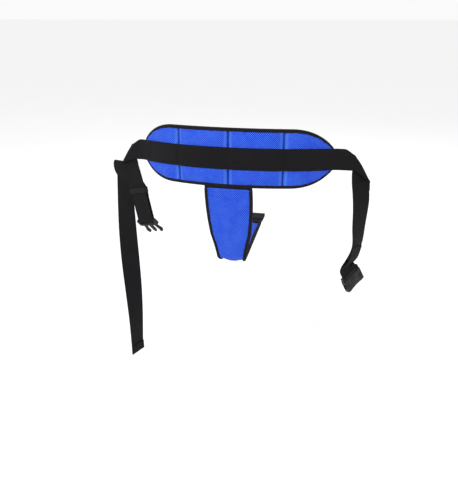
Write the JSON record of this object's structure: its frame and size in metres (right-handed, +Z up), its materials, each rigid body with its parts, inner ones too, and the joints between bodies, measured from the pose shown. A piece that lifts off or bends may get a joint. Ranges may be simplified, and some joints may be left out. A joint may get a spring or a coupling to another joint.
{
  "type": "wheelchair safety belt",
  "caption": "Padded wheelchair lap belt with a tapered crotch pad, waist webbing that folds over the armrests and a side-release buckle.",
  "frame": {"origin": "middle of the lap pad's wearer side", "axes": "+Y from the pad towards the wearer, +Z up, X along the belt, +X to the right seen from the front"},
  "size_m": [0.6661, 0.4076, 0.707],
  "materials": {
    "mesh_blue": "blue spacer mesh",
    "foam": "soft open-cell foam",
    "binding_black": "woven binding tape",
    "webbing_black": "ribbed woven webbing",
    "thread_black": "sewing thread",
    "elastic_black": "woven elastic",
    "buckle_black": "moulded, fine texture"
  },
  "bodies": {
    "lap_pad": {"front_cover_centre": "mesh_blue", "back_cover_centre": "mesh_blue", "pad_binding_centre": "binding_black", "waist_webbing_centre": "webbing_black", "pad_foam_left_inner": "foam", "pad_foam_right_inner": "foam"},
    "left_wing": {"front_cover_left": "mesh_blue", "back_cover_left": "mesh_blue", "pad_binding_left": "binding_black", "waist_webbing_left": "webbing_black", "pad_foam_left_outer": "foam", "end_stitching_left": "thread_black"},
    "right_wing": {"front_cover_right": "mesh_blue", "back_cover_right": "mesh_blue", "pad_binding_right": "binding_black", "waist_webbing_right": "webbing_black", "pad_foam_right_outer": "foam", "end_stitching_right": "thread_black"},
    "left_band": {"left_band": "webbing_black"},
    "right_band": {"right_band": "webbing_black"},
    "left_run": {"left_run_webbing": "webbing_black", "return_webbing": "webbing_black", "tail_turn": "webbing_black"},
    "keeper": {"keeper": "elastic_black"},
    "left_tail": {"tail_webbing": "webbing_black", "tail_hem": "webbing_black"},
    "male_buckle": {"male_buckle": "buckle_black"},
    "prong_left": {"prong_left": "buckle_black"},
    "prong_right": {"prong_right": "buckle_black"},
    "right_drop": {"drop_webbing": "webbing_black", "drop_fold_back": "webbing_black", "bar_loop": "webbing_black"},
    "female_buckle": {"female_buckle": "buckle_black"},
    "crotch_front": {"crotch_foam_front": "foam", "crotch_cover_front": "mesh_blue", "crotch_lining_front": "mesh_blue", "crotch_binding_front": "binding_black", "crotch_tab": "binding_black"},
    "crotch_rear": {"crotch_foam_rear": "foam", "crotch_cover_rear": "mesh_blue", "crotch_lining_rear": "mesh_blue", "crotch_binding_rear": "binding_black"},
    "crotch_loop": {"crotch_loop": "webbing_black", "loop_stitching": "thread_black"}
  },
  "joints": [
    {"name": "left_wing_fold", "type": "hinge", "parent": "lap_pad", "child": "left_wing", "pos_m": [-0.12035, 0.01626, 0], "axis": [0, 0, -1], "range_deg": [-15, 25]},
    {"name": "right_wing_fold", "type": "hinge", "parent": "lap_pad", "child": "right_wing", "pos_m": [0.12035, 0.01626, 0], "axis": [0, 0, 1], "range_deg": [-15, 25]},
    {"name": "left_band_swing", "type": "hinge", "parent": "left_wing", "child": "left_band", "pos_m": [-0.23207, 0.08012, -0.0115], "axis": [0, 0, -1], "range_deg": [-25, 25]},
    {"name": "right_band_swing", "type": "hinge", "parent": "right_wing", "child": "right_band", "pos_m": [0.23207, 0.08012, -0.0115], "axis": [0, 0, 1], "range_deg": [-25, 25]},
    {"name": "left_run_swing", "type": "hinge", "parent": "left_band", "child": "left_run", "pos_m": [-0.2842, 0.11251, -0.05403], "axis": [0.9206, -0.3064, 0.2419], "range_deg": [-40, 20]},
    {"name": "keeper_slide", "type": "slide", "parent": "left_run", "child": "keeper", "axis": [0.2295, -0.0764, -0.9703], "range_m": [0, 0.05]},
    {"name": "tail_swing", "type": "hinge", "parent": "left_run", "child": "left_tail", "pos_m": [-0.314, 0.136, -0.0815], "axis": [0.9511, -0.309, 0], "range_deg": [-6, 35]},
    {"name": "male_buckle_tilt", "type": "hinge", "parent": "left_run", "child": "male_buckle", "pos_m": [-0.24674, 0.10363, -0.20783], "axis": [0.9206, -0.3064, 0.2419], "range_deg": [-40, 30]},
    {"name": "prong_left_pinch", "type": "hinge", "parent": "male_buckle", "child": "prong_left", "pos_m": [-0.25731, 0.11753, -0.22441], "axis": [-0.1075, -0.7947, -0.5974], "range_deg": [0, 7], "stiffness_Nm_per_rad": 0.6},
    {"name": "prong_right_pinch", "type": "hinge", "parent": "male_buckle", "child": "prong_right", "pos_m": [-0.22416, 0.1065, -0.2157], "axis": [0.1075, 0.7947, 0.5974], "range_deg": [0, 7], "stiffness_Nm_per_rad": 0.6},
    {"name": "right_drop_swing", "type": "hinge", "parent": "right_band", "child": "right_drop", "pos_m": [0.2911, 0.12555, -0.07407], "axis": [0.8664, 0.4883, -0.1045], "range_deg": [-40, 35]},
    {"name": "female_buckle_tilt", "type": "hinge", "parent": "right_drop", "child": "female_buckle", "pos_m": [0.287, 0.116, -0.308], "axis": [0.5461, 0.7148, 0.4368], "range_deg": [-40, 40]},
    {"name": "crotch_swing", "type": "hinge", "parent": "lap_pad", "child": "crotch_front", "pos_m": [0, -0.007, -0.069], "axis": [1, 0, 0], "range_deg": [-60, 15]},
    {"name": "crotch_bend", "type": "hinge", "parent": "crotch_front", "child": "crotch_rear", "pos_m": [0, 0.03585, -0.26193], "axis": [1, 0, 0], "range_deg": [-50, 20]},
    {"name": "crotch_loop_flex", "type": "hinge", "parent": "crotch_rear", "child": "crotch_loop", "pos_m": [0, 0.319, -0.266], "axis": [1, 0, 0], "range_deg": [-50, 50]}
  ],
  "couplings": [
    {"joint": "prong_right_pinch", "follows": "prong_left_pinch", "ratio": 1}
  ]
}
